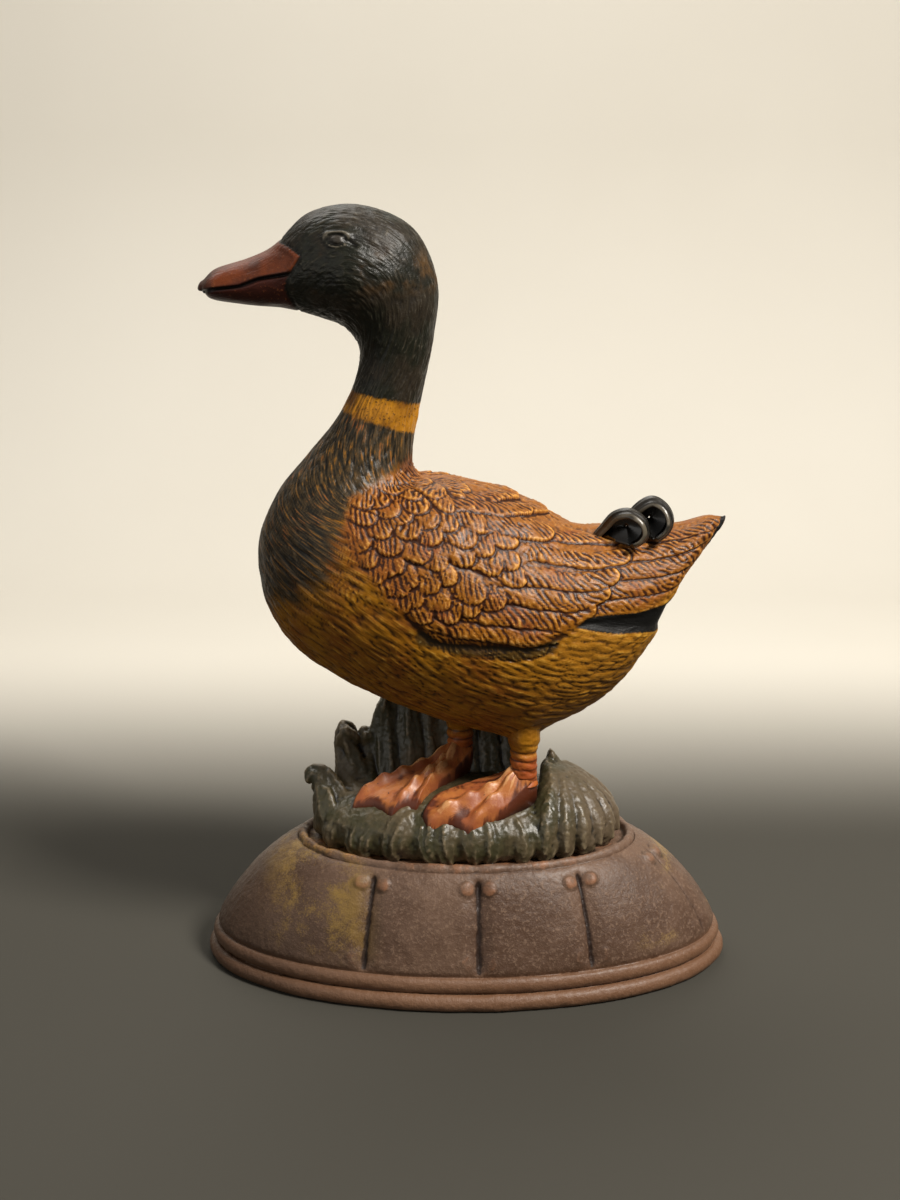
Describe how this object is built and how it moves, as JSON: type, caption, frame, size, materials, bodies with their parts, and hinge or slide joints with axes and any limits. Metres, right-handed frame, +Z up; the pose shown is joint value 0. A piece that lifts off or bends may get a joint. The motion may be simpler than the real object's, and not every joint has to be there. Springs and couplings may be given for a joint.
{
  "type": "door stop",
  "caption": "Painted cast-iron door stop: a standing drake on a grass tussock, on an oval domed base with panels, rivets and plinth mouldings.",
  "frame": {"origin": "under the middle of the base, on the plane that it stands on", "axes": "+Z up, the bill points to -X, the drake's left side faces -Y"},
  "size_m": [0.21, 0.11, 0.295],
  "materials": {
    "base_paint": "grainy cast iron under worn purple-brown paint with ochre patches",
    "grass_paint": "cast iron under dark green-grey paint, with orange painted feet",
    "duck_paint": "cast iron under hand-laid brown, ochre and near-black paint, satin",
    "curl_paint": "cast iron under glossy black paint",
    "screw_steel": "darkened steel"
  },
  "bodies": {
    "root": {"base_casting": "base_paint", "ground_casting": "grass_paint", "duck_left_casting": "duck_paint", "duck_right_casting": "duck_paint", "front_tail_curl": "curl_paint", "rear_tail_curl": "curl_paint", "neck_screw": "screw_steel", "breast_screw": "screw_steel", "rump_screw": "screw_steel", "left_leg_bolt": "screw_steel", "right_leg_bolt": "screw_steel", "left_bolt_washer": "screw_steel", "right_bolt_washer": "screw_steel"}
  },
  "joints": []
}
